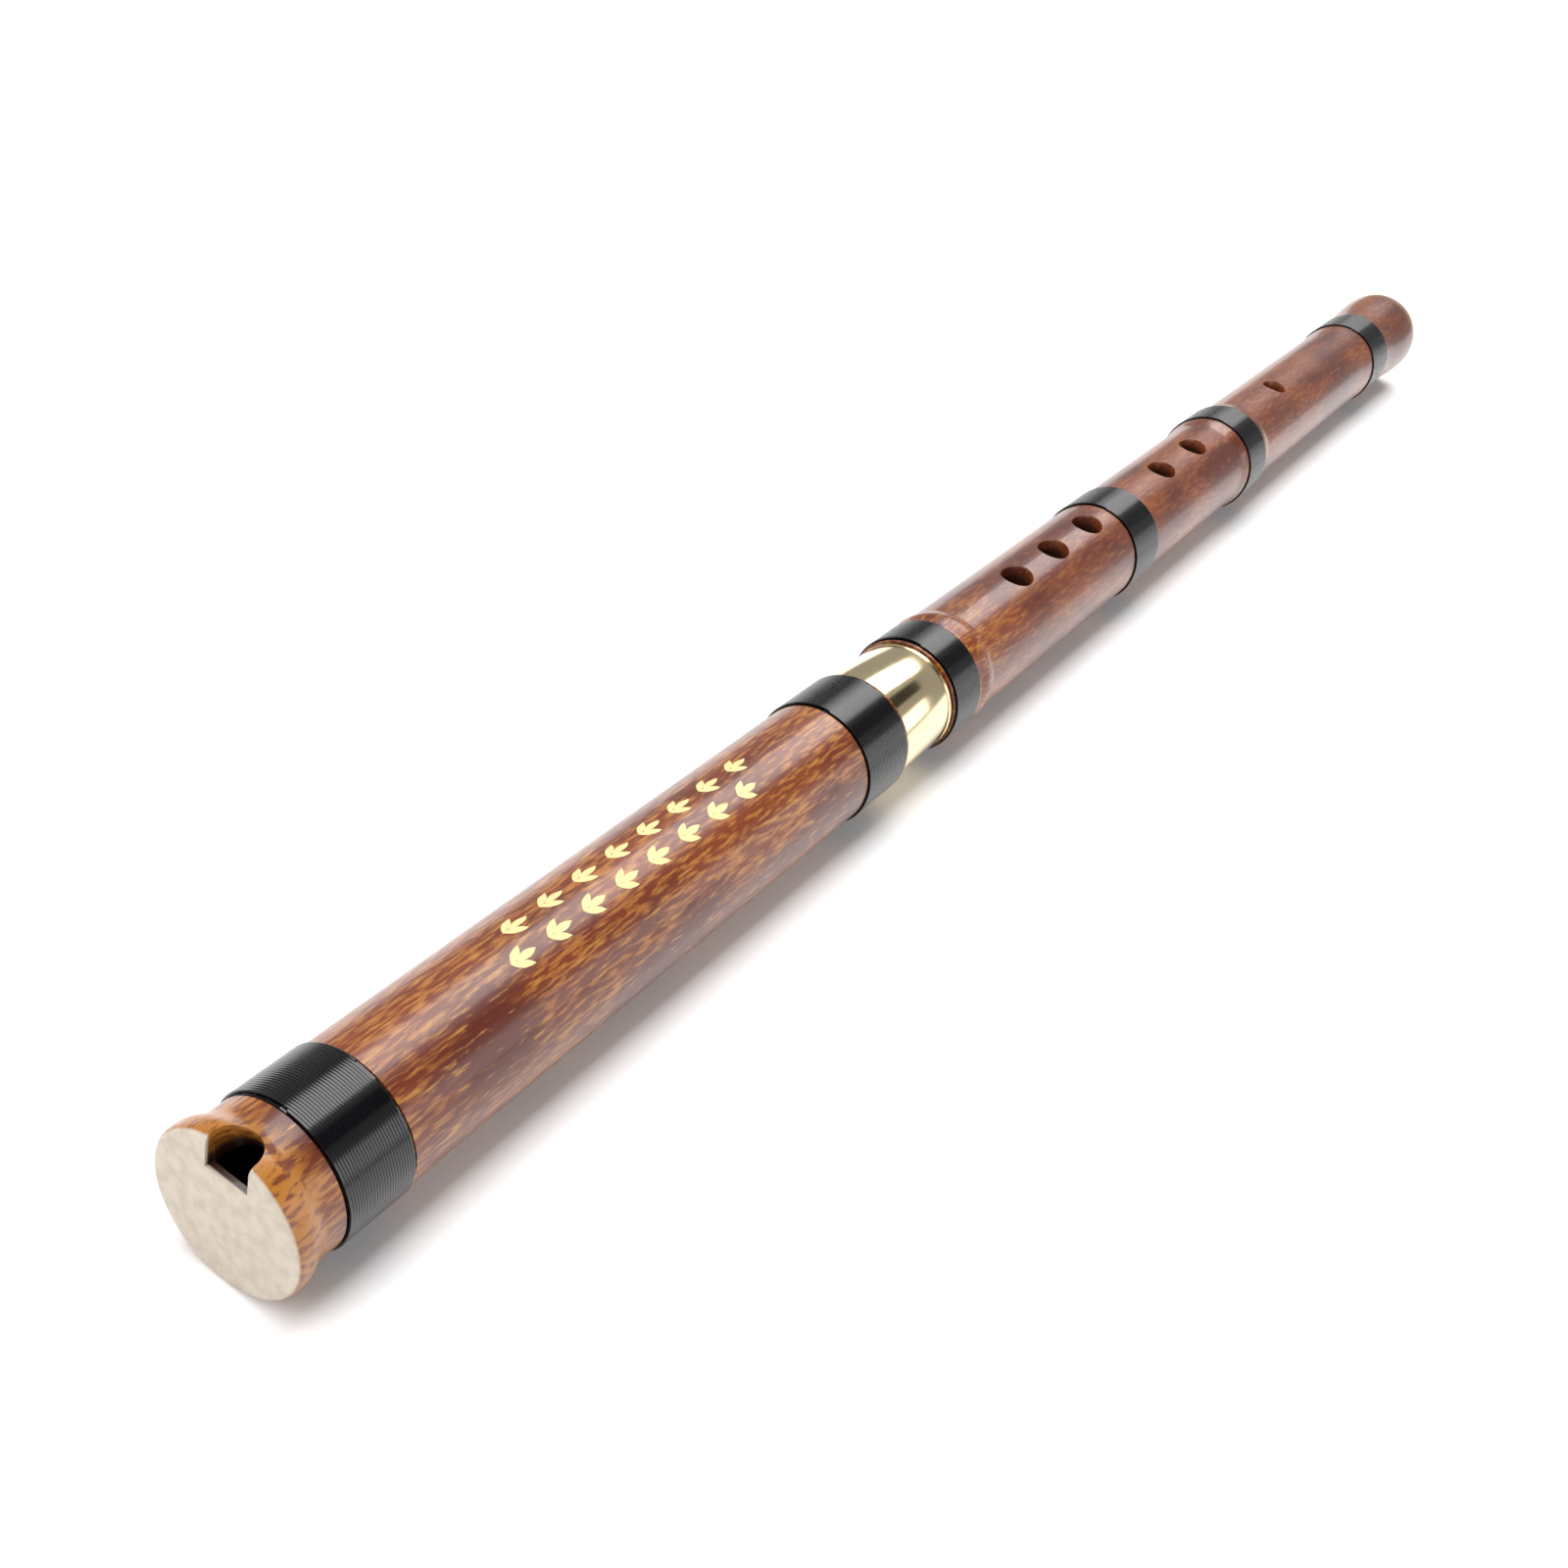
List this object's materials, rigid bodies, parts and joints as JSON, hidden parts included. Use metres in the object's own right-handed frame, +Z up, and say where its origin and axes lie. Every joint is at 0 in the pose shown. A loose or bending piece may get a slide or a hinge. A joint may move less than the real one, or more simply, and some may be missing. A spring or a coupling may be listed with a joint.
{
  "type": "xiao",
  "caption": "Xiao, an end-blown bamboo flute in two sections on a brass tenon joint, with black lacquered lashings, a U notch, finger holes and a flared foot.",
  "frame": {"origin": "on the surface the flute lies on, under the middle of its length", "axes": "+X along the flute towards the foot, +Z up through the finger holes and the notch"},
  "size_m": [0.56, 0.029, 0.0291],
  "materials": {
    "bamboo": "dark red-brown mottled bamboo, polished and oiled",
    "lacquered_thread": "fine black thread under clear lacquer",
    "brass": "polished"
  },
  "bodies": {
    "head_section": {"head_tube": "bamboo", "socket_ferrule": "brass", "socket_liner": "brass", "head_lashing_bed": "lacquered_thread", "head_lashing_turns": "lacquered_thread", "socket_lashing_bed": "lacquered_thread", "socket_lashing_turns": "lacquered_thread"},
    "tenon": {"tenon_tube": "brass"},
    "foot_section": {"foot_tube": "bamboo", "tenon_lashing_bed": "lacquered_thread", "tenon_lashing_turns": "lacquered_thread", "middle_lashing_bed": "lacquered_thread", "middle_lashing_turns": "lacquered_thread", "lower_lashing_bed": "lacquered_thread", "lower_lashing_turns": "lacquered_thread", "foot_lashing_bed": "lacquered_thread", "foot_lashing_turns": "lacquered_thread"}
  },
  "joints": [
    {"name": "joint_pull", "type": "slide", "parent": "head_section", "child": "tenon", "axis": [1, 0, 0], "range_m": [0, 0.037]},
    {"name": "joint_turn", "type": "hinge", "parent": "tenon", "child": "foot_section", "pos_m": [-0.0872, 0, 0.01453], "axis": [1, 0, 0], "continuous": true}
  ]
}
